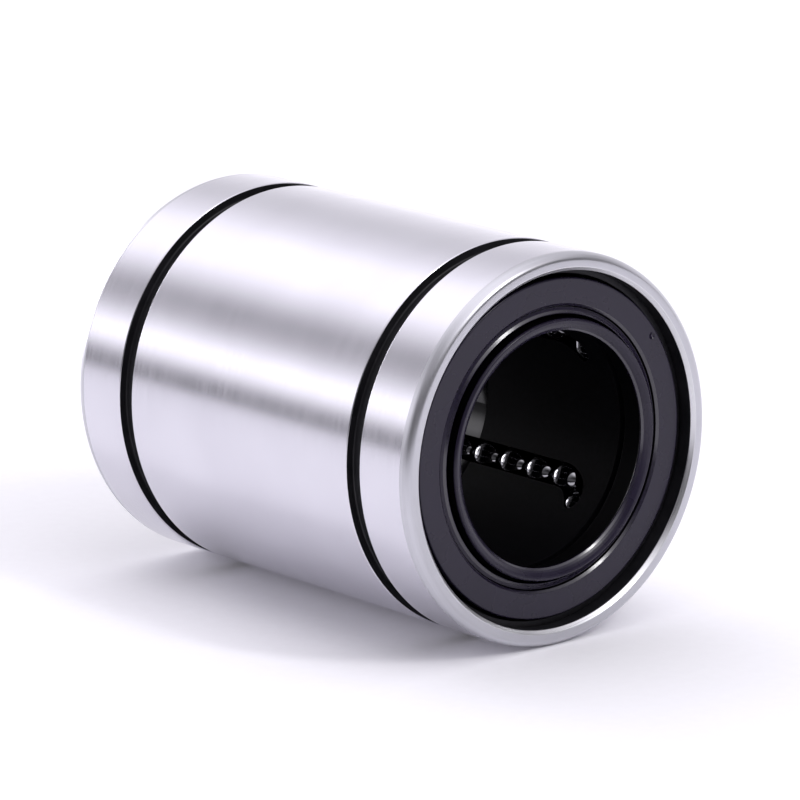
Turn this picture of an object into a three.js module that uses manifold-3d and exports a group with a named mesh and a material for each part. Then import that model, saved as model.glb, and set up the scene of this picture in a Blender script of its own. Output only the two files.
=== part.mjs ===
// Closed linear ball bushing for a 20 mm shaft: a hardened outer sleeve, a moulded ball cage with
// five recirculating ball circuits, and at each end a lip seal behind a retaining ring.
//
// Millimetres. +X runs along the bore towards the front end, +Z is up, and the origin is the middle
// of the bushing. Angles about the bore are in degrees, from +Y towards +Z. The bushing lies on its
// side: turned surfaces have SIDES flats, and one of them faces straight down.
import * as THREE from "three";
import { mergeVertices } from "three/addons/utils/BufferGeometryUtils.js";
import Module from "manifold-3d";

const wasm = await Module();
wasm.setup();

// Standard envelope of the 20 x 32 x 42 bushing.
const OUTER_RADIUS = 16;
const HALF_LENGTH = 21;
const CLIP_GROOVE_OUTER_WALL = 15.25; // from the middle of the bushing
const CLIP_GROOVE_WIDTH = 1.6;
const CLIP_GROOVE_FLOOR_RADIUS = 15.25;

// Sleeve.
const END_EDGE_LENGTH = 0.97; // rounded outer edge, along the bore
const END_EDGE_DEPTH = 0.65; // rounded outer edge, radially
const MOUTH_RADIUS = 14.85;
const COUNTERBORE_RADIUS = 14.55;
const COUNTERBORE_FLOOR = 17.2; // from the middle of the bushing
const RACEWAY_RADIUS = 13.3;
const RELIEF_RADIUS = 14.35; // room for the returning balls
const RELIEF_START = 6.9; // degrees past the loaded row
const RELIEF_END = 28.8;

// Balls and their circuits.
const BALL_RADIUS = 3.175 / 2;
const CIRCUITS = 5;
const FIRST_CIRCUIT_ANGLE = -30.5;
const LOADED_RADIUS = 10 + BALL_RADIUS; // a loaded ball touches the shaft
const RETURN_RADIUS = 12.6;
const TURN_RADIUS = 2.3;
const BALLS_PER_ROW = 7;
const ROW_PITCH = 3.25;
const TURN_PITCH = 3.6; // along the arc, between the two balls of a turn
const HALF_STRAIGHT = 11.537; // a turn starts here, from the middle of the bushing
const REST_SHIFT = 1.7; // how far the balls have run on from their symmetric places
const NECK_RADIUS = 0.4; // thin link that keeps hidden balls of one group in one solid

// Cage.
const CAGE_HALF_LENGTH = 16.9;
const CAGE_INNER_RADIUS = 10.3;
const CAGE_OUTER_RADIUS = 12.95;
const CHANNEL_RADIUS = BALL_RADIUS + 0.12;
const CHANNEL_HEIGHT = 3.2; // channel walls, outwards from the ball centres

// Seals and retaining rings, measured from the middle of the bushing to the front.
const SEAL_BACK = 17.35;
const SEAL_FLANGE_FRONT = 18.35;
const SEAL_FLANGE_RADIUS = 14.35;
const SEAL_FACE = 19.93;
const SEAL_FACE_RADIUS = 13.86;
const SEAL_BORE_RADIUS = 10.35;
const LIP_RADIUS = 9.65;
const LIP_EDGE = 20.1; // where the lip touches the shaft
const LIP_UNDERCUT = 19.2; // where the lip's cone meets the seal's bore
const LIP_TIP = 20.55;
const LIP_TIP_RADIUS = 10.3;
const LIP_OUTER_RADIUS = 10.62;
const LIP_GROOVE_FLOOR = 18.9;
const LIP_GROOVE_OUTER_RADIUS = 10.91;
const RIB_RADIUS = 10.98;
const RIB_DEPTH = 0.04; // below the face
const VALLEY_RADIUS = 11.3;
const VALLEY_DEPTH = 0.26;
const FACE_INNER_RADIUS = 11.66;
const RING_GROOVE_BACK = 18.4;
const RING_GROOVE_FRONT = 19.4;
const RING_GROOVE_RADIUS = 15.2;
const RING_CLEARANCE = 0.05;
const RING_INNER_RADIUS = 14.05;
const RING_OUTER_RADIUS = 15.1;
const RING_GAP_ANGLE = 22; // degrees left open, so that the ring can be squeezed in
const RING_GAP_AT = 180;

// Facets.
const SIDES = 32; // flats around a turned surface
const FLAT_TO_CORNER = 1 / Math.cos(Math.PI / SIDES);
const CHANNEL_ARC_STEPS = 6;
const TURN_SIDES = 20;
const NECK_SIDES = 6;
const BALL_DETAIL = 1;
const RING_ARC_STEPS = 16;
const RELIEF_ARC_STEPS = 2;

const STEEL = { color: 0xc9c9cf, roughness: 0.28, metalness: 1 };
const BALL_STEEL = { color: 0xdadade, roughness: 0.1, metalness: 1 };
const SPRING_STEEL = { color: 0x1c1b20, roughness: 0.45, metalness: 0.8 };
const CAGE_PLASTIC = { color: 0x17161a, roughness: 0.55, metalness: 0 };
const SEAL_RUBBER = { color: 0x413d49, roughness: 0.6, metalness: 0 };

const radians = THREE.MathUtils.degToRad;

// Loop plane of a circuit whose loaded row is at angle 0: both rows of ball centres lie in it.
const returnAngle = -Math.acos(
  (LOADED_RADIUS ** 2 + RETURN_RADIUS ** 2 - (2 * TURN_RADIUS) ** 2) /
    (2 * LOADED_RADIUS * RETURN_RADIUS),
);
const loadedLine = new THREE.Vector3(0, LOADED_RADIUS, 0);
const returnLine = new THREE.Vector3(
  0,
  RETURN_RADIUS * Math.cos(returnAngle),
  RETURN_RADIUS * Math.sin(returnAngle),
);
const loopCentre = loadedLine.clone().add(returnLine).divideScalar(2);
const acrossLoop = returnLine.clone().sub(loadedLine).normalize();
const loopTilt = Math.atan2(acrossLoop.z, acrossLoop.y);

// --- Solids ---------------------------------------------------------------------------------

function solidOf(geometry) {
  const bare = geometry.clone();
  bare.deleteAttribute("normal");
  bare.deleteAttribute("uv");
  const merged = mergeVertices(bare, 1e-4);
  return new wasm.Manifold(
    new wasm.Mesh({
      numProp: 3,
      vertProperties: merged.attributes.position.array,
      triVerts: new Uint32Array(merged.index.array),
    }),
  );
}

function geometryOf(solid) {
  const mesh = solid.getMesh();
  const geometry = new THREE.BufferGeometry();
  geometry.setAttribute("position", new THREE.BufferAttribute(mesh.vertProperties, 3));
  geometry.setIndex(new THREE.BufferAttribute(mesh.triVerts, 1));
  const flat = geometry.toNonIndexed();
  flat.computeVertexNormals();
  return flat;
}

function joined(geometries) {
  return geometries.map(solidOf).reduce((sum, solid) => sum.add(solid));
}

// Turns a closed outline of [along the bore, radius] points about the bore. The flats, not the
// corners, lie at the radii given.
function turned(outline) {
  const points = [...outline, outline[0]].map(
    ([along, radius]) => new THREE.Vector2(radius * FLAT_TO_CORNER, along),
  );
  const lathe = new THREE.LatheGeometry(points, SIDES, Math.PI / SIDES, 2 * Math.PI);
  return lathe.rotateZ(-Math.PI / 2);
}

// The front half of an outline, from its outer middle to its inner middle, with its mirror image.
function withRearHalf(frontHalf) {
  const rearHalf = frontHalf.map(([along, radius]) => [-along, radius]).reverse();
  return [...frontHalf, ...rearHalf];
}

// Extrudes a shape drawn in (Y, Z) along the bore.
function alongBore(shape, from, to, curveSegments = 1) {
  const geometry = new THREE.ExtrudeGeometry(shape, {
    depth: to - from,
    bevelEnabled: false,
    curveSegments,
  });
  geometry.translate(0, 0, from);
  return geometry.applyMatrix4(
    new THREE.Matrix4().makeBasis(
      new THREE.Vector3(0, 1, 0),
      new THREE.Vector3(0, 0, 1),
      new THREE.Vector3(1, 0, 0),
    ),
  );
}

function ringSector(innerRadius, outerRadius, fromDegrees, toDegrees) {
  const from = radians(fromDegrees);
  const to = radians(toDegrees);
  const shape = new THREE.Shape();
  shape.absarc(0, 0, outerRadius, from, to, false);
  shape.absarc(0, 0, innerRadius, to, from, true);
  shape.closePath();
  return shape;
}

const circuitAngle = (index) => FIRST_CIRCUIT_ANGLE + (index * 360) / CIRCUITS;

// --- Outer sleeve ---------------------------------------------------------------------------

function sleeveOutline() {
  const clipInnerWall = CLIP_GROOVE_OUTER_WALL - CLIP_GROOVE_WIDTH;
  const edgeStart = HALF_LENGTH - END_EDGE_LENGTH;
  const mouthChamfer = MOUTH_RADIUS - COUNTERBORE_RADIUS;
  return withRearHalf([
    [clipInnerWall, OUTER_RADIUS],
    [clipInnerWall, CLIP_GROOVE_FLOOR_RADIUS],
    [CLIP_GROOVE_OUTER_WALL, CLIP_GROOVE_FLOOR_RADIUS],
    [CLIP_GROOVE_OUTER_WALL, OUTER_RADIUS],
    [edgeStart, OUTER_RADIUS],
    [edgeStart + 0.7 * END_EDGE_LENGTH, OUTER_RADIUS - 0.3 * END_EDGE_DEPTH],
    [HALF_LENGTH, OUTER_RADIUS - END_EDGE_DEPTH],
    [HALF_LENGTH, MOUTH_RADIUS],
    [HALF_LENGTH - mouthChamfer, COUNTERBORE_RADIUS],
    [RING_GROOVE_FRONT, COUNTERBORE_RADIUS],
    [RING_GROOVE_FRONT, RING_GROOVE_RADIUS],
    [RING_GROOVE_BACK, RING_GROOVE_RADIUS],
    [RING_GROOVE_BACK, COUNTERBORE_RADIUS],
    [COUNTERBORE_FLOOR, COUNTERBORE_RADIUS],
    [COUNTERBORE_FLOOR, RACEWAY_RADIUS],
  ]);
}

function outerSleeve() {
  let sleeve = solidOf(turned(sleeveOutline()));
  for (let index = 0; index < CIRCUITS; index++) {
    const angle = circuitAngle(index);
    const sector = ringSector(
      RACEWAY_RADIUS - 1,
      RELIEF_RADIUS,
      angle - RELIEF_END,
      angle - RELIEF_START,
    );
    const relief = alongBore(
      sector,
      -CAGE_HALF_LENGTH,
      CAGE_HALF_LENGTH,
      RELIEF_ARC_STEPS,
    );
    sleeve = sleeve.subtract(solidOf(relief));
  }
  return geometryOf(sleeve);
}

// --- Ball cage ------------------------------------------------------------------------------

// Section of a ball channel: round below the ball centres, open outwards. offset moves it sideways.
function channelSection(offset) {
  const points = [new THREE.Vector2(offset + CHANNEL_RADIUS, CHANNEL_HEIGHT)];
  points.push(new THREE.Vector2(offset - CHANNEL_RADIUS, CHANNEL_HEIGHT));
  for (let step = 0; step <= CHANNEL_ARC_STEPS; step++) {
    const turn = Math.PI + (Math.PI * step) / CHANNEL_ARC_STEPS;
    points.push(
      new THREE.Vector2(
        offset + CHANNEL_RADIUS * Math.cos(turn),
        CHANNEL_RADIUS * Math.sin(turn),
      ),
    );
  }
  return points;
}

// One end of the channel, in the loop plane: half of a round trough about the turn's centre.
function channelTurn(end) {
  const section = channelSection(TURN_RADIUS);
  const trough = new THREE.LatheGeometry([...section, section[0]], TURN_SIDES);
  trough.rotateX(Math.PI / 2);
  const reach = 2 * (TURN_RADIUS + CHANNEL_RADIUS);
  const endBlock = new THREE.BoxGeometry(reach, 2 * reach, 4 * CHANNEL_HEIGHT);
  endBlock.translate(end * (reach / 2 - 0.01), 0, 0);
  const half = solidOf(trough).intersect(solidOf(endBlock));
  return half.translate([end * HALF_STRAIGHT, 0, 0]);
}

// The whole racetrack channel of the circuit at the given angle.
function ballChannel(angle) {
  const straights = [-TURN_RADIUS, TURN_RADIUS].map((offset) =>
    solidOf(
      alongBore(new THREE.Shape(channelSection(offset)), -HALF_STRAIGHT, HALF_STRAIGHT),
    ),
  );
  const track = [channelTurn(1), channelTurn(-1), ...straights].reduce((sum, part) =>
    sum.add(part),
  );
  return track
    .rotate([THREE.MathUtils.radToDeg(loopTilt), 0, 0])
    .translate(loopCentre.toArray())
    .rotate([angle, 0, 0]);
}

function ballCage() {
  const chamfer = 0.4;
  const outline = withRearHalf([
    [CAGE_HALF_LENGTH - chamfer, CAGE_OUTER_RADIUS],
    [CAGE_HALF_LENGTH, CAGE_OUTER_RADIUS - chamfer],
    [CAGE_HALF_LENGTH, CAGE_INNER_RADIUS + chamfer],
    [CAGE_HALF_LENGTH - chamfer, CAGE_INNER_RADIUS],
  ]);
  let cage = solidOf(turned(outline));
  for (let index = 0; index < CIRCUITS; index++) {
    cage = cage.subtract(ballChannel(circuitAngle(index)));
  }
  return geometryOf(cage);
}

// --- Seal and retaining ring ----------------------------------------------------------------

function lipSeal() {
  const edge = 0.15;
  return turned([
    [SEAL_BACK, SEAL_BORE_RADIUS],
    [SEAL_BACK, SEAL_FLANGE_RADIUS],
    [SEAL_FLANGE_FRONT, SEAL_FLANGE_RADIUS],
    [SEAL_FLANGE_FRONT, SEAL_FACE_RADIUS],
    [SEAL_FACE - edge, SEAL_FACE_RADIUS],
    [SEAL_FACE, SEAL_FACE_RADIUS - edge],
    [SEAL_FACE, FACE_INNER_RADIUS],
    [SEAL_FACE - VALLEY_DEPTH, VALLEY_RADIUS],
    [SEAL_FACE - RIB_DEPTH, RIB_RADIUS],
    [SEAL_FACE - edge, LIP_GROOVE_OUTER_RADIUS],
    [LIP_GROOVE_FLOOR, LIP_GROOVE_OUTER_RADIUS],
    [LIP_GROOVE_FLOOR, LIP_OUTER_RADIUS],
    [LIP_TIP - edge, LIP_OUTER_RADIUS],
    [LIP_TIP, LIP_TIP_RADIUS],
    [LIP_EDGE, LIP_RADIUS],
    [LIP_UNDERCUT, SEAL_BORE_RADIUS],
  ]);
}

function retainingRing() {
  const sector = ringSector(
    RING_INNER_RADIUS,
    RING_OUTER_RADIUS,
    RING_GAP_AT + RING_GAP_ANGLE / 2,
    RING_GAP_AT + 360 - RING_GAP_ANGLE / 2,
  );
  return alongBore(
    sector,
    RING_GROOVE_BACK + RING_CLEARANCE,
    RING_GROOVE_FRONT - RING_CLEARANCE,
    RING_ARC_STEPS,
  );
}

// --- Balls ----------------------------------------------------------------------------------

function ballAt(point) {
  return new THREE.IcosahedronGeometry(BALL_RADIUS, BALL_DETAIL).translate(...point);
}

function neckBetween(from, to) {
  const start = new THREE.Vector3(...from);
  const step = new THREE.Vector3(...to).sub(start);
  const neck = new THREE.CylinderGeometry(
    NECK_RADIUS,
    NECK_RADIUS,
    step.length(),
    NECK_SIDES,
  );
  neck.applyQuaternion(
    new THREE.Quaternion().setFromUnitVectors(
      new THREE.Vector3(0, 1, 0),
      step.clone().normalize(),
    ),
  );
  return neck.translate(...start.addScaledVector(step, 0.5).toArray());
}

// Balls that share a node, linked in a chain.
function ballChain(points) {
  const necks = points.slice(1).map((point, index) => neckBetween(points[index], point));
  return geometryOf(joined([...points.map(ballAt), ...necks]));
}

// Places of the balls in a straight row, in the loop plane. heading is +1 on the loaded side.
function rowPlaces(heading) {
  const places = [];
  for (let index = 0; index < BALLS_PER_ROW; index++) {
    const along = (index - (BALLS_PER_ROW - 1) / 2) * ROW_PITCH + REST_SHIFT;
    places.push([heading * along, -heading * TURN_RADIUS, 0]);
  }
  return places;
}

// Places of the two balls in the turn at the front (end = 1) or the rear (end = -1).
function turnPlaces(end) {
  const middle = (Math.PI / 2) * TURN_RADIUS;
  return [-TURN_PITCH / 2, TURN_PITCH / 2].map((offset) => {
    const turn = (middle + offset + REST_SHIFT) / TURN_RADIUS;
    return [
      end * (HALF_STRAIGHT + TURN_RADIUS * Math.sin(turn)),
      -end * TURN_RADIUS * Math.cos(turn),
      0,
    ];
  });
}

// --- Assembly -------------------------------------------------------------------------------

function part(name, geometry, look) {
  const mesh = new THREE.Mesh(geometry, new THREE.MeshStandardMaterial(look));
  mesh.name = name;
  return mesh;
}

function circuit(index) {
  const name = "circuit_" + (index + 1);
  const loop = new THREE.Group();
  rowPlaces(1).forEach((place, ball) => {
    const single = new THREE.IcosahedronGeometry(BALL_RADIUS, BALL_DETAIL);
    const mesh = part(name + "_loaded_ball_" + (ball + 1), single, BALL_STEEL);
    mesh.position.set(...place);
    loop.add(mesh);
  });
  loop.add(
    part(name + "_return_balls", ballChain(rowPlaces(-1)), BALL_STEEL),
    part(name + "_front_turn_balls", ballChain(turnPlaces(1)), BALL_STEEL),
    part(name + "_rear_turn_balls", ballChain(turnPlaces(-1)), BALL_STEEL),
  );
  loop.position.copy(loopCentre);
  loop.rotation.x = loopTilt;
  const aboutBore = new THREE.Group();
  aboutBore.rotation.x = radians(circuitAngle(index));
  aboutBore.add(loop);
  return aboutBore;
}

function endParts(name, turnAboutZ) {
  const end = new THREE.Group();
  end.add(
    part(name + "_seal", lipSeal(), SEAL_RUBBER),
    part(name + "_retaining_ring", retainingRing(), SPRING_STEEL),
  );
  end.rotation.z = turnAboutZ;
  return end;
}

const bushing = new THREE.Group();
bushing.add(
  part("outer_sleeve", outerSleeve(), STEEL),
  part("ball_cage", ballCage(), CAGE_PLASTIC),
  endParts("front", 0),
  endParts("rear", Math.PI),
);
for (let index = 0; index < CIRCUITS; index++) {
  bushing.add(circuit(index));
}

export default bushing;
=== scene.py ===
import math

import bmesh
import bpy
from mathutils import Matrix, Vector


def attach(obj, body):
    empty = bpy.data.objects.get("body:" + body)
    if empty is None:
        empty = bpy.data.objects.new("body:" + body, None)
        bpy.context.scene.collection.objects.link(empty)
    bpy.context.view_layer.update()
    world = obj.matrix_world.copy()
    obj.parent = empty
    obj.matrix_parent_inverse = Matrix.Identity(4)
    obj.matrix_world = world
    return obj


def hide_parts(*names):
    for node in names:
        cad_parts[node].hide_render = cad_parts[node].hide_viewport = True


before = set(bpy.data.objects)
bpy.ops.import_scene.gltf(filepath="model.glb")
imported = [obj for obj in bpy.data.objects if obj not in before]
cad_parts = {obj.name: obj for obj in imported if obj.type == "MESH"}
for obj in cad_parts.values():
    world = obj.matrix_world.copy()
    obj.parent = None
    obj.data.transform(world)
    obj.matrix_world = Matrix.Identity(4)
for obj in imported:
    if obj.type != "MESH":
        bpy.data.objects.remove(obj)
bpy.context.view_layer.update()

MM = 0.001

# Driving dimensions, the same as in the CAD model.
OUTER_RADIUS = 16.0
HALF_LENGTH = 21.0
CLIP_GROOVE_OUTER_WALL = 15.25
CLIP_GROOVE_WIDTH = 1.6
CLIP_GROOVE_FLOOR_RADIUS = 15.25
END_EDGE_LENGTH = 0.97
END_EDGE_DEPTH = 0.65
MOUTH_RADIUS = 14.85
COUNTERBORE_RADIUS = 14.55
COUNTERBORE_FLOOR = 17.2
RACEWAY_RADIUS = 13.3
RELIEF_RADIUS = 14.35
RELIEF_START = 6.9
RELIEF_END = 28.8
BALL_RADIUS = 3.175 / 2
CIRCUITS = 5
FIRST_CIRCUIT_ANGLE = -30.5
LOADED_RADIUS = 10 + BALL_RADIUS
RETURN_RADIUS = 12.6
TURN_RADIUS = 2.3
BALLS_PER_ROW = 7
ROW_PITCH = 3.25
TURN_PITCH = 3.6
HALF_STRAIGHT = 11.537
REST_SHIFT = 1.7
CAGE_HALF_LENGTH = 16.9
CAGE_INNER_RADIUS = 10.3
CAGE_OUTER_RADIUS = 12.95
CAGE_CHAMFER = 0.4
CHANNEL_RADIUS = BALL_RADIUS + 0.12
CHANNEL_HEIGHT = 3.2
RING_GROOVE_BACK = 18.4
RING_GROOVE_FRONT = 19.4
RING_GROOVE_RADIUS = 15.2
RING_PLAY = 0.05  # between the retaining ring and each wall of its groove
RING_INNER_RADIUS = 14.05
RING_OUTER_RADIUS = 15.1
RING_EDGE = 0.12
RING_GAP_ANGLE = 22.0
RING_GAP_AT = 180.0

# Seal, from its flange inwards. Depths are measured from its flat face, and a pair is (along, radius).
SEAL_BACK = 17.35
SEAL_BACK_RADIUS = 12.4
SEAL_FLANGE_FRONT = 18.35
SEAL_FLANGE_RADIUS = 14.35
SEAL_FACE = 19.93
SEAL_RIM_RADIUS = 13.86
SEAL_RIM_DEPTH = 0.35
SEAL_RIM_TAPER = 0.02
FACE_INNER_RADIUS = 11.78
VALLEY_BEND_RADIUS = 11.55
VALLEY_BEND_DEPTH = 0.16
VALLEY_RADIUS = 11.42
VALLEY_DEPTH = 0.34
RIB_FOOT_RADIUS = 11.2
RIB_FOOT_DEPTH = 0.24
RIB_RADIUS = 10.95
RIB_DEPTH = 0.06
LIP_GROOVE_OUTER_RADIUS = 10.91
LIP_GROOVE_EDGE_DEPTH = 0.2
LIP_GROOVE_FLOOR = 18.9
LIP_OUTER_RADIUS = 10.62
LIP_SHOULDER = (20.35, 10.64)
LIP_TIP = (20.57, 10.52)
LIP_CROWN = (20.5, 10.2)
LIP_SLOPE = (20.36, 9.94)
LIP_SHEEN = (20.24, 9.79)
LIP_EDGE = 20.1
LIP_RADIUS = 9.62
LIP_EDGE_WIDTH = 0.12
LIP_UNDERCUT = (19.2, 10.35)
MOULD_MARK = (10.87, 7.6)  # side and up, on the seal's face
MOULD_MARK_INNER_RADIUS = 0.1
MOULD_MARK_OUTER_RADIUS = 0.3
MOULD_MARK_DEPTH = 0.15

SEGMENTS = 240  # around a turned piece
SMOOTH_UNDER = math.radians(28)

# Loop plane of a circuit whose loaded row is at angle 0.
RETURN_ANGLE = -math.acos(
    (LOADED_RADIUS**2 + RETURN_RADIUS**2 - (2 * TURN_RADIUS) ** 2)
    / (2 * LOADED_RADIUS * RETURN_RADIUS)
)
LOADED_LINE = Vector((0, LOADED_RADIUS, 0))
RETURN_LINE = Vector(
    (0, RETURN_RADIUS * math.cos(RETURN_ANGLE), RETURN_RADIUS * math.sin(RETURN_ANGLE))
)
LOOP_CENTRE = (LOADED_LINE + RETURN_LINE) / 2
ACROSS_LOOP = (RETURN_LINE - LOADED_LINE).normalized()
LOOP_TILT = math.atan2(ACROSS_LOOP.z, ACROSS_LOOP.y)


# --- Camera and light ------------------------------------------------------------------------

VIEW_AZIMUTH = math.radians(49.32)
VIEW_ELEVATION = math.radians(13.76)
LENS = 253.56
SENSOR_WIDTH = 36
FACE_FROM_CAMERA = (12.688, -4.100, 446.684)  # front face centre: right, up and ahead of the camera


def view_axes():
    right = Vector((math.cos(VIEW_AZIMUTH), math.sin(VIEW_AZIMUTH), 0))
    back = Vector(
        (
            math.sin(VIEW_AZIMUTH) * math.cos(VIEW_ELEVATION),
            -math.cos(VIEW_AZIMUTH) * math.cos(VIEW_ELEVATION),
            math.sin(VIEW_ELEVATION),
        )
    )
    return right, back.cross(right), back


def add_camera():
    right, up, back = view_axes()
    to_right, to_up, ahead = FACE_FROM_CAMERA
    place = Vector((HALF_LENGTH, 0, 0)) - to_right * right - to_up * up + ahead * back
    data = bpy.data.cameras.new("camera")
    data.lens = LENS
    data.sensor_width = SENSOR_WIDTH
    data.clip_start = 0.01
    data.clip_end = 20
    camera = bpy.data.objects.new("camera", data)
    camera.matrix_world = Matrix.Translation(place * MM) @ Matrix((right, up, back)).transposed().to_4x4()
    bpy.context.scene.collection.objects.link(camera)
    bpy.context.scene.camera = camera


KEY_PLACE = (460, 120, 440)
KEY_AIM = (10, 0, 0)
KEY_SIZE = (60, 220)
KEY_POWER = 1.0  # watts
KEY_COLOUR = (1, 0.99, 1)


def add_key_light():
    """One soft lamp in front, for the highlights on the seal and the balls."""
    data = bpy.data.lights.new("key", "AREA")
    data.shape = "RECTANGLE"
    data.size, data.size_y = (length * MM for length in KEY_SIZE)
    data.energy = KEY_POWER
    data.color = KEY_COLOUR
    light = bpy.data.objects.new("key", data)
    light.location = Vector(KEY_PLACE) * MM
    aim = Vector(KEY_AIM) - Vector(KEY_PLACE)
    light.rotation_euler = aim.to_track_quat("-Z", "Y").to_euler()
    bpy.context.scene.collection.objects.link(light)


class Nodes:
    """A node tree, with short helpers for the few kinds of node that are used here."""

    def __init__(self, owner):
        owner.use_nodes = True
        self.nodes = owner.node_tree.nodes
        self.links = owner.node_tree.links

    def math(self, operation, *values):
        """Each value is a socket to link or a number."""
        node = self.nodes.new("ShaderNodeMath")
        node.operation = operation
        for socket, value in zip(node.inputs, values):
            if isinstance(value, (int, float)):
                socket.default_value = value
            else:
                self.links.new(value, socket)
        return node.outputs[0]

    def to_range(self, value, low, high, from_low=0.3, from_high=0.7, interpolation="LINEAR"):
        span = self.nodes.new("ShaderNodeMapRange")
        span.interpolation_type = interpolation
        span.inputs["From Min"].default_value = from_low
        span.inputs["From Max"].default_value = from_high
        span.inputs["To Min"].default_value = low
        span.inputs["To Max"].default_value = high
        self.links.new(value, span.inputs["Value"])
        return span.outputs[0]

    def ramp(self, value, stops):
        ramp = self.nodes.new("ShaderNodeValToRGB")
        self.links.new(value, ramp.inputs[0])
        elements = ramp.color_ramp.elements
        while len(elements) < len(stops):
            elements.new(1.0)
        for element, (position, colour) in zip(elements, stops):
            element.position = position
            element.color = (*colour, 1)
        return ramp.outputs[0]


# Brightness of the studio by direction about the bore's axis, from the +Y horizon (0) over the
# top (90) to the -Y horizon (180): soft boxes with darker gaps between them.
STUDIO_BANDS = [
    (0, 1.35),
    (10, 1.12),
    (24, 0.98),
    (36, 0.82),
    (48, 0.82),
    (66, 1.12),
    (80, 1.6),
    (104, 1.6),
    (113, 1.2),
    (122, 0.75),
    (130, 0.4),
    (140, 0.55),
    (150, 1.1),
    (158, 1.9),
    (165, 1.7),
    (175, 0.34),
    (184, 0.12),
]
STUDIO_TINT = (0.975, 0.955, 1.015)

# The studio is dark in front of the bore. It brightens to the full bands towards the rear, and
# towards the +Y side and overhead. Each row is an axis, and where on it the dark ends and the full
# bands begin.
FRONT_LEVEL = 0.1
BRIGHTER_TOWARDS = (("X", 0.15, -0.4), ("Y", 0.8, 0.95), ("Z", 0.4, 0.7))

# A bright patch straight behind the bore gives the lights on the balls and in the cage's bore.
REAR_LEVEL = 8.5
REAR_PATCH_FROM = -0.925
REAR_PATCH_FULL = -0.97


def add_world():
    world = bpy.data.worlds.new("studio")
    bpy.context.scene.world = world
    tree = Nodes(world)
    split = tree.nodes.new("ShaderNodeSeparateXYZ")
    coords = tree.nodes.new("ShaderNodeTexCoord")
    tree.links.new(coords.outputs["Generated"], split.inputs[0])
    direction = split.outputs

    last_angle = STUDIO_BANDS[-1][0]
    turn = tree.math("ARCTAN2", direction["Z"], direction["Y"])
    # From -45 to 315 degrees, so that the jump lies under the floor.
    turn = tree.math("WRAP", turn, 1.75 * math.pi, -0.25 * math.pi)
    stops = [
        (angle / last_angle, tuple(level * c for c in STUDIO_TINT)) for angle, level in STUDIO_BANDS
    ]
    bands = tree.ramp(tree.to_range(turn, 0, 1, 0, math.radians(last_angle)), stops)

    level = FRONT_LEVEL
    for axis, dark_to, full_from in BRIGHTER_TOWARDS:
        fade = tree.to_range(direction[axis], FRONT_LEVEL, 1, dark_to, full_from, "SMOOTHSTEP")
        level = tree.math("MAXIMUM", level, fade)
    patch = tree.to_range(direction["X"], 1, REAR_LEVEL, REAR_PATCH_FROM, REAR_PATCH_FULL)
    background = tree.nodes["Background"]
    tree.links.new(bands, background.inputs["Color"])
    tree.links.new(tree.math("MULTIPLY", level, patch), background.inputs["Strength"])


# --- Materials -------------------------------------------------------------------------------


class Shader(Nodes):
    """A material with one Principled shader, whose patterns are laid out in object space."""

    def __init__(self, name):
        self.material = bpy.data.materials.new(name)
        super().__init__(self.material)
        self.surface = self.nodes["Principled BSDF"]
        self.coords = self.nodes.new("ShaderNodeTexCoord").outputs["Object"]

    def set(self, **values):
        for name, value in values.items():
            self.surface.inputs[name.replace("_", " ")].default_value = value

    def noise(self, scale, stretch=(1, 1, 1), detail=4, roughness=0.5):
        mapping = self.nodes.new("ShaderNodeMapping")
        mapping.inputs["Scale"].default_value = stretch
        self.links.new(self.coords, mapping.inputs["Vector"])
        noise = self.nodes.new("ShaderNodeTexNoise")
        noise.inputs["Scale"].default_value = scale
        noise.inputs["Detail"].default_value = detail
        noise.inputs["Roughness"].default_value = roughness
        self.links.new(mapping.outputs[0], noise.inputs["Vector"])
        return noise.outputs["Fac"]

    def distance_to(self, place):
        """Distance in metres from a line along the bore through place (side, up)."""
        flat = self.nodes.new("ShaderNodeVectorMath")
        flat.operation = "MULTIPLY"
        flat.inputs[1].default_value = (0, 1, 1)
        self.links.new(self.coords, flat.inputs[0])
        distance = self.nodes.new("ShaderNodeVectorMath")
        distance.operation = "DISTANCE"
        distance.inputs[1].default_value = (0, *(c * MM for c in place))
        self.links.new(flat.outputs[0], distance.inputs[0])
        return distance.outputs["Value"]

    def colour(self, output):
        self.links.new(output, self.surface.inputs["Base Color"])

    def roughness(self, output):
        self.links.new(output, self.surface.inputs["Roughness"])

    def bump(self, height, strength, distance):
        bump = self.nodes.new("ShaderNodeBump")
        bump.inputs["Strength"].default_value = strength
        bump.inputs["Distance"].default_value = distance
        self.links.new(height, bump.inputs["Height"])
        if self.surface.inputs["Normal"].is_linked:
            previous = self.surface.inputs["Normal"].links[0].from_socket
            self.links.new(previous, bump.inputs["Normal"])
        self.links.new(bump.outputs[0], self.surface.inputs["Normal"])


AROUND = (1, 0.02, 0.02)  # stretches a pattern into lines that run around the bore


def ground_steel():
    shader = Shader("ground_steel")
    shader.set(Metallic=1.0)
    lines = shader.noise(5200, AROUND, detail=6, roughness=0.65)
    cloud = shader.noise(140, detail=3)
    shader.colour(shader.ramp(cloud, [(0.3, (0.66, 0.65, 0.705)), (0.7, (0.70, 0.69, 0.745))]))
    shader.roughness(shader.to_range(lines, 0.19, 0.25))
    shader.bump(lines, 0.07, 0.00001)
    return shader.material


def turned_steel():
    shader = Shader("turned_steel")
    shader.set(Metallic=1.0)
    lines = shader.noise(3600, AROUND, detail=5, roughness=0.7)
    shader.colour(shader.ramp(lines, [(0.3, (0.61, 0.61, 0.63)), (0.7, (0.73, 0.73, 0.75))]))
    shader.roughness(shader.to_range(lines, 0.24, 0.36))
    shader.bump(lines, 0.2, 0.00002)
    return shader.material


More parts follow.
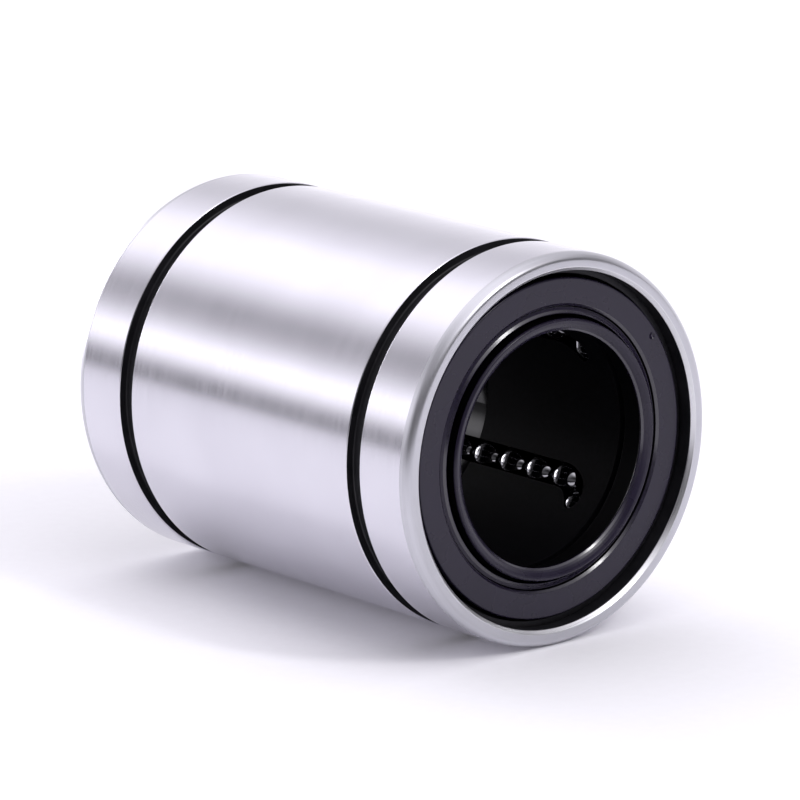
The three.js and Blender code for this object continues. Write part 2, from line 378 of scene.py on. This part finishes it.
def edge_steel():
    shader = Shader("edge_steel")
    shader.set(Metallic=1.0)
    lines = shader.noise(3000, AROUND, detail=5, roughness=0.7)
    shader.colour(shader.ramp(lines, [(0.3, (0.50, 0.50, 0.53)), (0.7, (0.60, 0.60, 0.64))]))
    shader.roughness(shader.to_range(lines, 0.28, 0.38))
    shader.bump(lines, 0.25, 0.00002)
    return shader.material


# Dark scaled steel: the steel's own black scale in the clip grooves, and painted shade on the bore, the
# counterbores and the ring grooves.
def scale_and_shade_steel():
    shader = Shader("scale_and_shade_steel")
    shader.set(Metallic=0.4)
    cloud = shader.noise(420, detail=6, roughness=0.6)
    lines = shader.noise(2600, AROUND, detail=4)
    shader.colour(shader.ramp(cloud, [(0.35, (0.006, 0.006, 0.008)), (0.75, (0.02, 0.019, 0.023))]))
    shader.roughness(shader.to_range(lines, 0.42, 0.62))
    shader.bump(lines, 0.3, 0.00003)
    return shader.material


# The colour is partly the balls' steel and partly painted shade: darker than bearing steel, so that the
# balls in the dark bore stay dim.
def lapped_ball_steel():
    shader = Shader("ball_steel")
    shader.set(Metallic=1.0)
    cloud = shader.noise(700, detail=3)
    shader.colour(shader.ramp(cloud, [(0.3, (0.29, 0.29, 0.305)), (0.7, (0.34, 0.34, 0.355))]))
    shader.roughness(shader.to_range(shader.noise(5200, detail=5), 0.03, 0.08))
    return shader.material


def spring_steel():
    shader = Shader("spring_steel")
    shader.set(Metallic=0.6)
    grain = shader.noise(3000, detail=5, roughness=0.6)
    shader.colour(shader.ramp(grain, [(0.3, (0.008, 0.008, 0.010)), (0.7, (0.022, 0.021, 0.026))]))
    shader.roughness(shader.to_range(grain, 0.38, 0.55))
    shader.bump(grain, 0.2, 0.00002)
    return shader.material


# The near-black colour is partly the cage's black plastic and partly painted shade: it is darker than the
# plastic, for the unlit bore.
def cage_plastic(name, gloss, low_roughness):
    shader = Shader(name)
    shader.set(Specular_IOR_Level=gloss)
    grain = shader.noise(2600, detail=5)
    shader.colour(shader.ramp(grain, [(0.3, (0.001, 0.001, 0.0015)), (0.7, (0.003, 0.0028, 0.004))]))
    shader.roughness(shader.to_range(grain, low_roughness, low_roughness * 1.2))
    return shader.material


def seal_rubber():
    shader = Shader("seal_rubber")
    shader.set(Specular_IOR_Level=0.36)
    cloud = shader.noise(260, detail=4)
    grain = shader.noise(6000, detail=6, roughness=0.6)
    shader.colour(shader.ramp(cloud, [(0.25, (0.011, 0.008, 0.021)), (0.75, (0.016, 0.012, 0.029))]))
    shader.roughness(shader.to_range(cloud, 0.24, 0.32))
    shader.bump(grain, 0.2, 0.00002)
    from_mark = shader.distance_to(MOULD_MARK)
    mark = shader.to_range(from_mark, 0, 1, MOULD_MARK_INNER_RADIUS * MM, MOULD_MARK_OUTER_RADIUS * MM)
    shader.bump(mark, 1.0, MOULD_MARK_DEPTH * MM)
    return shader.material


def polished_rubber():
    shader = Shader("polished_rubber")
    shader.set(Specular_IOR_Level=0.95)
    grain = shader.noise(2600, detail=5)
    shader.colour(shader.ramp(grain, [(0.25, (0.011, 0.008, 0.020)), (0.75, (0.016, 0.012, 0.028))]))
    shader.roughness(shader.to_range(grain, 0.17, 0.23))
    return shader.material


# Painted shade: a much darker copy of the seal rubber, for the seal's faces that lie in shade (flange,
# valley wall, lip groove walls and the lip's back).
def painted_shade_rubber():
    shader = Shader("painted_shade_rubber")
    shader.set(Specular_IOR_Level=0.02)
    grain = shader.noise(2400, detail=5)
    shader.colour(shader.ramp(grain, [(0.3, (0.0005, 0.0005, 0.001)), (0.7, (0.0015, 0.0013, 0.002))]))
    shader.roughness(shader.to_range(grain, 0.45, 0.6))
    shader.bump(grain, 0.1, 0.00001)
    return shader.material


def floor_paper():
    """Matt pale paper. Its faint glow keeps the floor as light as the studio behind it."""
    shader = Shader("floor_paper")
    grain = shader.noise(900, detail=5)
    shader.colour(shader.ramp(grain, [(0.3, (0.90, 0.895, 0.92)), (0.7, (0.92, 0.915, 0.94))]))
    shader.set(Roughness=0.9, Specular_IOR_Level=0.1)
    shader.set(Emission_Color=(0.93, 0.9, 1.0, 1), Emission_Strength=0.055)
    return shader.material


# --- Turned pieces ---------------------------------------------------------------------------

SUPPORT = 0.05  # how close to a rounded corner its supporting loop lies
ARC_STEP = math.radians(15)


def rounded(corners):
    """Rounds an open outline. A corner is (along, radius, rounding, finish of the stretch that
    follows), where a finish is the number of a material. An arc between two finishes takes the lower
    number. Returns the points (along, radius) and the finish of the stretch after each point."""
    points, finishes = [], []
    for index, (along, radius, rounding, finish) in enumerate(corners):
        here = Vector((along, radius))
        inside = 0 < index < len(corners) - 1
        if not inside or not rounding:
            points.append(here)
            finishes.append(finish)
            continue
        before = Vector(corners[index - 1][:2]) - here
        after = Vector(corners[index + 1][:2]) - here
        half = before.angle(after) / 2
        reach = min(rounding / math.tan(half), 0.49 * before.length, 0.49 * after.length)
        radius_used = reach * math.tan(half)
        centre = here + (before.normalized() + after.normalized()).normalized() * (
            radius_used / math.sin(half)
        )
        start = here + before.normalized() * reach - centre
        end = here + after.normalized() * reach - centre
        sweep = start.angle_signed(end)
        steps = max(2, round(abs(sweep) / ARC_STEP))
        finish_before = corners[index - 1][3]
        if before.length > 2 * (reach + SUPPORT):
            points.append(here + before.normalized() * (reach + SUPPORT))
            finishes.append(finish_before)
        for step in range(steps + 1):
            spin = Matrix.Rotation(-sweep * step / steps, 2)
            points.append(centre + spin @ start)
            finishes.append(min(finish, finish_before) if step < steps else finish)
        if after.length > 2 * (reach + SUPPORT):
            points.append(here + after.normalized() * (reach + SUPPORT))
            finishes.append(finish)
    return points, finishes


def mirrored(points, finishes, middle_finish):
    """A front half outline, from its outer middle to its inner middle, closed with its mirror
    image. The middle finish is that of the stretch which joins the two halves on the inside."""
    rear = [Vector((-p.x, p.y)) for p in reversed(points)]
    rear_finishes = list(reversed(finishes[:-1])) + [finishes[0]]
    return points + rear, finishes[:-1] + [middle_finish] + rear_finishes


def new_piece(name, mesh, materials, body, node):
    mesh.transform(Matrix.Scale(MM, 4))
    for material in materials:
        mesh.materials.append(material)
    mesh.shade_smooth()
    mesh.set_sharp_from_angle(angle=SMOOTH_UNDER)
    piece = bpy.data.objects.new(name, mesh)
    bpy.context.scene.collection.objects.link(piece)
    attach(piece, body)
    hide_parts(node)


def turned(name, points, finishes, radius_at=None):
    """A closed outline turned about the bore. radius_at(point, angle) may change a radius by angle."""
    mesh = bmesh.new()
    rings = []
    for step in range(SEGMENTS):
        angle = 2 * math.pi * step / SEGMENTS
        ring = []
        for point in points:
            radius = radius_at(point, math.degrees(angle)) if radius_at else point.y
            ring.append(
                mesh.verts.new((point.x, radius * math.cos(angle), radius * math.sin(angle)))
            )
        rings.append(ring)
    count = len(points)
    for step in range(SEGMENTS):
        near, far = rings[step], rings[(step + 1) % SEGMENTS]
        for index in range(count):
            after = (index + 1) % count
            face = mesh.faces.new((near[index], near[after], far[after], far[index]))
            face.material_index = finishes[index]
    bmesh.ops.recalc_face_normals(mesh, faces=mesh.faces)
    data = bpy.data.meshes.new(name)
    mesh.to_mesh(data)
    mesh.free()
    return data


# --- Outer sleeve ----------------------------------------------------------------------------

# The fourth finish is black scale in the clip grooves and painted shade inside the sleeve.
GROUND, TURNED, EDGE, SCALE_AND_SHADE = range(4)
RELIEF_MOUTH = 16.9
RELIEF_MOUTH_STEP = 0.02
ON_RACEWAY = RACEWAY_RADIUS + 0.01  # points no further out than this belong to the bore
GROOVE_EDGE = 0.06
MOUTH_CHAMFER = 0.3
END_EDGE_STEPS = 14


def circuit_angle(index):
    return FIRST_CIRCUIT_ANGLE + index * 360 / CIRCUITS


def sleeve_radius(point, angle):
    """Adds the relief grooves to the bore, between the loaded rows."""
    if point.y > ON_RACEWAY or abs(point.x) > RELIEF_MOUTH:
        return point.y
    for index in range(CIRCUITS):
        past = (circuit_angle(index) - angle) % 360
        if RELIEF_START <= past <= RELIEF_END:
            return RELIEF_RADIUS
    return point.y


def end_edge():
    """The rounded outer edge of an end, a quarter of an ellipse."""
    edge = []
    for step in range(END_EDGE_STEPS + 1):
        turn = math.pi / 2 * step / END_EDGE_STEPS
        along = HALF_LENGTH - END_EDGE_LENGTH * (1 - math.sin(turn))
        radius = OUTER_RADIUS - END_EDGE_DEPTH * (1 - math.cos(turn))
        edge.append((along, radius, 0, EDGE))
    return edge


def add_outer_sleeve():
    outer_wall = CLIP_GROOVE_OUTER_WALL
    inner_wall = outer_wall - CLIP_GROOVE_WIDTH
    corners = [
        (0.0, OUTER_RADIUS, 0, GROUND),
        (inner_wall - GROOVE_EDGE, OUTER_RADIUS, 0.05, GROUND),
        (inner_wall, OUTER_RADIUS - GROOVE_EDGE, 0.03, SCALE_AND_SHADE),
        (inner_wall, CLIP_GROOVE_FLOOR_RADIUS, 0.15, SCALE_AND_SHADE),
        (outer_wall, CLIP_GROOVE_FLOOR_RADIUS, 0.15, SCALE_AND_SHADE),
        (outer_wall, OUTER_RADIUS - GROOVE_EDGE, 0.03, GROUND),
        (outer_wall + GROOVE_EDGE, OUTER_RADIUS, 0.05, GROUND),
        *end_edge(),
        (HALF_LENGTH, MOUTH_RADIUS, 0.08, TURNED),
        (HALF_LENGTH - MOUTH_CHAMFER, COUNTERBORE_RADIUS, 0.1, SCALE_AND_SHADE),
        (RING_GROOVE_FRONT, COUNTERBORE_RADIUS, 0.05, SCALE_AND_SHADE),
        (RING_GROOVE_FRONT, RING_GROOVE_RADIUS, 0.1, SCALE_AND_SHADE),
        (RING_GROOVE_BACK, RING_GROOVE_RADIUS, 0.1, SCALE_AND_SHADE),
        (RING_GROOVE_BACK, COUNTERBORE_RADIUS, 0.05, SCALE_AND_SHADE),
        (COUNTERBORE_FLOOR, COUNTERBORE_RADIUS, 0.1, SCALE_AND_SHADE),
        (COUNTERBORE_FLOOR, RACEWAY_RADIUS, 0.1, SCALE_AND_SHADE),
        (RELIEF_MOUTH + RELIEF_MOUTH_STEP, RACEWAY_RADIUS, 0, SCALE_AND_SHADE),
        (RELIEF_MOUTH, RACEWAY_RADIUS, 0, SCALE_AND_SHADE),
    ]
    points, finishes = mirrored(*rounded(corners), SCALE_AND_SHADE)
    # The outline starts and ends at the same outer middle point, so one of the two goes.
    mesh = turned("outer_sleeve_body", points[1:], finishes[1:], sleeve_radius)
    materials = [ground_steel(), turned_steel(), edge_steel(), scale_and_shade_steel()]
    new_piece("outer_sleeve_body", mesh, materials, "body", "outer_sleeve")


# --- Ball cage -------------------------------------------------------------------------------

MATT, GLOSSY = range(2)
GLOSSY_FROM = 0.8  # the cage's bore is glossy from here to its rear end
CHANNEL_ARC_STEPS = 18
TURN_STEPS = 20


def racetrack():
    """Points of a circuit's loop in its own plane, with the outward sideways direction at each."""
    track = []
    for end in (1, -1):
        for step in range(TURN_STEPS + 1):
            turn = -math.pi / 2 + math.pi * step / TURN_STEPS
            side = Vector((end * math.cos(turn), end * math.sin(turn), 0))
            track.append((Vector((end * HALF_STRAIGHT, 0, 0)) + TURN_RADIUS * side, side))
    return track


def circuit_matrix(index):
    about_bore = Matrix.Rotation(math.radians(circuit_angle(index)), 4, "X")
    return about_bore @ Matrix.Translation(LOOP_CENTRE) @ Matrix.Rotation(LOOP_TILT, 4, "X")


def channel_cutter():
    section = [(CHANNEL_RADIUS, CHANNEL_HEIGHT), (-CHANNEL_RADIUS, CHANNEL_HEIGHT)]
    for step in range(CHANNEL_ARC_STEPS + 1):
        turn = math.pi + math.pi * step / CHANNEL_ARC_STEPS
        section.append((CHANNEL_RADIUS * math.cos(turn), CHANNEL_RADIUS * math.sin(turn)))
    mesh = bmesh.new()
    for circuit in range(CIRCUITS):
        place = circuit_matrix(circuit)
        rings = [
            [mesh.verts.new(place @ (centre + side * out + Vector((0, 0, up)))) for out, up in section]
            for centre, side in racetrack()
        ]
        for step, near in enumerate(rings):
            far = rings[(step + 1) % len(rings)]
            for index in range(len(section)):
                after = (index + 1) % len(section)
                mesh.faces.new((near[index], near[after], far[after], far[index]))
    bmesh.ops.recalc_face_normals(mesh, faces=mesh.faces)
    data = bpy.data.meshes.new("channel_cutter")
    mesh.to_mesh(data)
    mesh.free()
    cutter = bpy.data.objects.new("channel_cutter", data)
    bpy.context.scene.collection.objects.link(cutter)
    return cutter


def cut(mesh, cutter):
    """The mesh with the cutter taken out of it. The cutter is removed afterwards."""
    base = bpy.data.objects.new("cut_base", mesh)
    bpy.context.scene.collection.objects.link(base)
    boolean = base.modifiers.new("cut", "BOOLEAN")
    boolean.operation = "DIFFERENCE"
    boolean.solver = "EXACT"
    boolean.object = cutter
    evaluated = base.evaluated_get(bpy.context.evaluated_depsgraph_get())
    result = bpy.data.meshes.new_from_object(evaluated)
    result.name = mesh.name
    for used in (base, cutter):
        data = used.data
        bpy.data.objects.remove(used)
        bpy.data.meshes.remove(data)
    return result


def add_ball_cage():
    half = [
        (0.0, CAGE_OUTER_RADIUS, 0, MATT),
        (CAGE_HALF_LENGTH - CAGE_CHAMFER, CAGE_OUTER_RADIUS, 0.15, MATT),
        (CAGE_HALF_LENGTH, CAGE_OUTER_RADIUS - CAGE_CHAMFER, 0.15, MATT),
        (CAGE_HALF_LENGTH, CAGE_INNER_RADIUS, 0.02, MATT),
        (0.0, CAGE_INNER_RADIUS, 0, MATT),
    ]
    points, finishes = rounded(half)
    # Both walls run straight through the middle, so neither needs its middle point.
    points, finishes = mirrored(points[1:-1], finishes[1:-1], MATT)
    middle = len(points) // 2
    points.insert(middle, Vector((GLOSSY_FROM, CAGE_INNER_RADIUS)))
    finishes.insert(middle, GLOSSY)
    mesh = cut(turned("ball_cage_body", points, finishes), channel_cutter())
    materials = [
        cage_plastic("cage_plastic", gloss=0.03, low_roughness=0.4),
        cage_plastic("cage_plastic_polished", gloss=0.5, low_roughness=0.05),
    ]
    new_piece("ball_cage_body", mesh, materials, "body", "ball_cage")


# --- Seals and retaining rings ---------------------------------------------------------------

# The third finish is painted shade: the seal's darker rubber copy, on faces where shade falls.
MOULDED, POLISHED, PAINTED_SHADE = range(3)


def seal_corners():
    """Outline of the front seal: flange, flat face, valley, rib, deep groove and shaft lip."""
    return [
        (SEAL_BACK, SEAL_BACK_RADIUS, 0, PAINTED_SHADE),
        (SEAL_BACK, SEAL_FLANGE_RADIUS, 0.1, PAINTED_SHADE),
        (SEAL_FLANGE_FRONT, SEAL_FLANGE_RADIUS, 0.1, PAINTED_SHADE),
        (SEAL_FLANGE_FRONT, SEAL_RIM_RADIUS, 0.05, PAINTED_SHADE),
        (SEAL_FACE - SEAL_RIM_DEPTH, SEAL_RIM_RADIUS, 0.02, MOULDED),
        (SEAL_FACE, SEAL_RIM_RADIUS - SEAL_RIM_TAPER, 0.14, MOULDED),
        (SEAL_FACE, FACE_INNER_RADIUS, 0.03, POLISHED),
        (SEAL_FACE - VALLEY_BEND_DEPTH, VALLEY_BEND_RADIUS, 0.03, PAINTED_SHADE),
        (SEAL_FACE - VALLEY_DEPTH, VALLEY_RADIUS, 0.05, MOULDED),
        (SEAL_FACE - RIB_FOOT_DEPTH, RIB_FOOT_RADIUS, 0.08, POLISHED),
        (SEAL_FACE - RIB_DEPTH, RIB_RADIUS, 0.04, MOULDED),
        (SEAL_FACE - LIP_GROOVE_EDGE_DEPTH, LIP_GROOVE_OUTER_RADIUS, 0.03, PAINTED_SHADE),
        (LIP_GROOVE_FLOOR, LIP_GROOVE_OUTER_RADIUS, 0.1, PAINTED_SHADE),
        (LIP_GROOVE_FLOOR, LIP_OUTER_RADIUS, 0.1, PAINTED_SHADE),
        (*LIP_SHOULDER, 0.1, MOULDED),
        (*LIP_TIP, 0.14, MOULDED),
        (*LIP_CROWN, 0.3, MOULDED),
        (*LIP_SLOPE, 0.12, MOULDED),
        (*LIP_SHEEN, 0, POLISHED),
        (LIP_EDGE, LIP_RADIUS, 0.06, POLISHED),
        (LIP_EDGE - LIP_EDGE_WIDTH, LIP_RADIUS, 0.04, PAINTED_SHADE),
        (*LIP_UNDERCUT, 0.2, PAINTED_SHADE),
        (SEAL_BACK, LIP_UNDERCUT[1], 0.1, PAINTED_SHADE),
        (SEAL_BACK, SEAL_BACK_RADIUS, 0, PAINTED_SHADE),
    ]


def add_seal(end, sign, materials):
    points, finishes = rounded(seal_corners())
    # The outline ends at its first point, so the last one goes.
    points = [Vector((sign * point.x, point.y)) for point in points[:-1]]
    mesh = turned(end + "_seal_disc", points, finishes[:-1])
    new_piece(end + "_seal_disc", mesh, materials, "body", end + "_seal")


def retaining_ring_mesh(name, sign):
    """An open ring of rectangular wire with rounded edges."""
    rear = RING_GROOVE_BACK + RING_PLAY + RING_EDGE
    front = RING_GROOVE_FRONT - RING_PLAY - RING_EDGE
    inner = RING_INNER_RADIUS + RING_EDGE
    outer = RING_OUTER_RADIUS - RING_EDGE
    section = []
    for along, radius, start in (
        (front, outer, 0),
        (rear, outer, 90),
        (rear, inner, 180),
        (front, inner, 270),
    ):
        for step in range(4):
            turn = math.radians(start + 30 * step)
            section.append((along + RING_EDGE * math.cos(turn), radius + RING_EDGE * math.sin(turn)))
    mesh = bmesh.new()
    start = math.radians(RING_GAP_AT + RING_GAP_ANGLE / 2)
    sweep = math.radians(360 - RING_GAP_ANGLE)
    steps = SEGMENTS // 2
    rings = []
    for step in range(steps + 1):
        angle = start + sweep * step / steps
        rings.append(
            [
                mesh.verts.new((sign * x, r * math.cos(angle), r * math.sin(angle)))
                for x, r in section
            ]
        )
    for near, far in zip(rings, rings[1:]):
        for index in range(len(section)):
            after = (index + 1) % len(section)
            mesh.faces.new((near[index], near[after], far[after], far[index]))
    for ends in (rings[0], rings[-1]):
        mesh.faces.new(ends)
    bmesh.ops.recalc_face_normals(mesh, faces=mesh.faces)
    data = bpy.data.meshes.new(name)
    mesh.to_mesh(data)
    mesh.free()
    return data


def add_retaining_ring(end, sign, material):
    name = end + "_snap_ring"
    mesh = retaining_ring_mesh(name, sign)
    new_piece(name, mesh, [material], "body", end + "_retaining_ring")


# --- Balls -----------------------------------------------------------------------------------

BALL_CUTS = 11  # along each edge of the cube that a ball starts from


def ball_mesh(name, centre):
    """A cube's faces divided and pushed out to the sphere, so that no ball has pinched poles."""
    mesh = bmesh.new()
    bmesh.ops.create_cube(mesh, size=2)
    bmesh.ops.subdivide_edges(mesh, edges=mesh.edges, cuts=BALL_CUTS, use_grid_fill=True)
    for vert in mesh.verts:
        # The tangent evens out the spacing before the faces are pushed out.
        even = Vector([math.tan(c * math.pi / 4) for c in vert.co])
        vert.co = centre + even.normalized() * BALL_RADIUS
    data = bpy.data.meshes.new(name)
    mesh.to_mesh(data)
    mesh.free()
    return data


def row_places(heading):
    """Ball centres of a row in the loop's plane: heading 1 is the loaded row, -1 the return row."""
    places = []
    for index in range(BALLS_PER_ROW):
        along = (index - (BALLS_PER_ROW - 1) / 2) * ROW_PITCH + REST_SHIFT
        places.append(Vector((heading * along, -heading * TURN_RADIUS, 0)))
    return places


def turn_places(end):
    """Ball centres of a turn in the loop's plane: end 1 is the front turn, -1 the rear turn."""
    places = []
    for offset in (-TURN_PITCH / 2, TURN_PITCH / 2):
        turn = math.pi / 2 + (offset + REST_SHIFT) / TURN_RADIUS
        places.append(
            Vector(
                (
                    end * (HALF_STRAIGHT + TURN_RADIUS * math.sin(turn)),
                    -end * TURN_RADIUS * math.cos(turn),
                    0,
                )
            )
        )
    return places


def add_ball(name, centre, body, node, material):
    new_piece(name, ball_mesh(name, centre), [material], body, node)


def add_circuit(index, material):
    circuit = f"circuit_{index + 1}"
    place = circuit_matrix(index)
    for number, spot in enumerate(row_places(1), 1):
        node = f"{circuit}_loaded_ball_{number}"
        add_ball(node + "_lapped", place @ spot, circuit + "_loaded_row", node, material)
    groups = (
        ("return", "return_row", "return_balls", row_places(-1)),
        ("front_turn", "front_turn", "front_turn_balls", turn_places(1)),
        ("rear_turn", "rear_turn", "rear_turn_balls", turn_places(-1)),
    )
    for group, body, node, spots in groups:
        for number, spot in enumerate(spots, 1):
            name = f"{circuit}_{group}_ball_{number}"
            add_ball(name, place @ spot, f"{circuit}_{body}", f"{circuit}_{node}", material)


# --- Floor -----------------------------------------------------------------------------------

FLOOR_RADIUS = 360


def add_floor():
    mesh = bmesh.new()
    bmesh.ops.create_circle(mesh, cap_ends=True, segments=96, radius=FLOOR_RADIUS * MM)
    data = bpy.data.meshes.new("floor")
    mesh.to_mesh(data)
    mesh.free()
    data.materials.append(floor_paper())
    floor = bpy.data.objects.new("floor", data)
    floor.location.z = -OUTER_RADIUS * MM
    bpy.context.scene.collection.objects.link(floor)


def main():
    bpy.context.scene.view_settings.view_transform = "Standard"
    add_camera()
    add_world()
    add_floor()
    add_key_light()
    add_outer_sleeve()
    add_ball_cage()
    rubber = [seal_rubber(), polished_rubber(), painted_shade_rubber()]
    spring = spring_steel()
    for end, sign in (("front", 1), ("rear", -1)):
        add_seal(end, sign, rubber)
        add_retaining_ring(end, sign, spring)
    lapped = lapped_ball_steel()
    for index in range(CIRCUITS):
        add_circuit(index, lapped)


main()
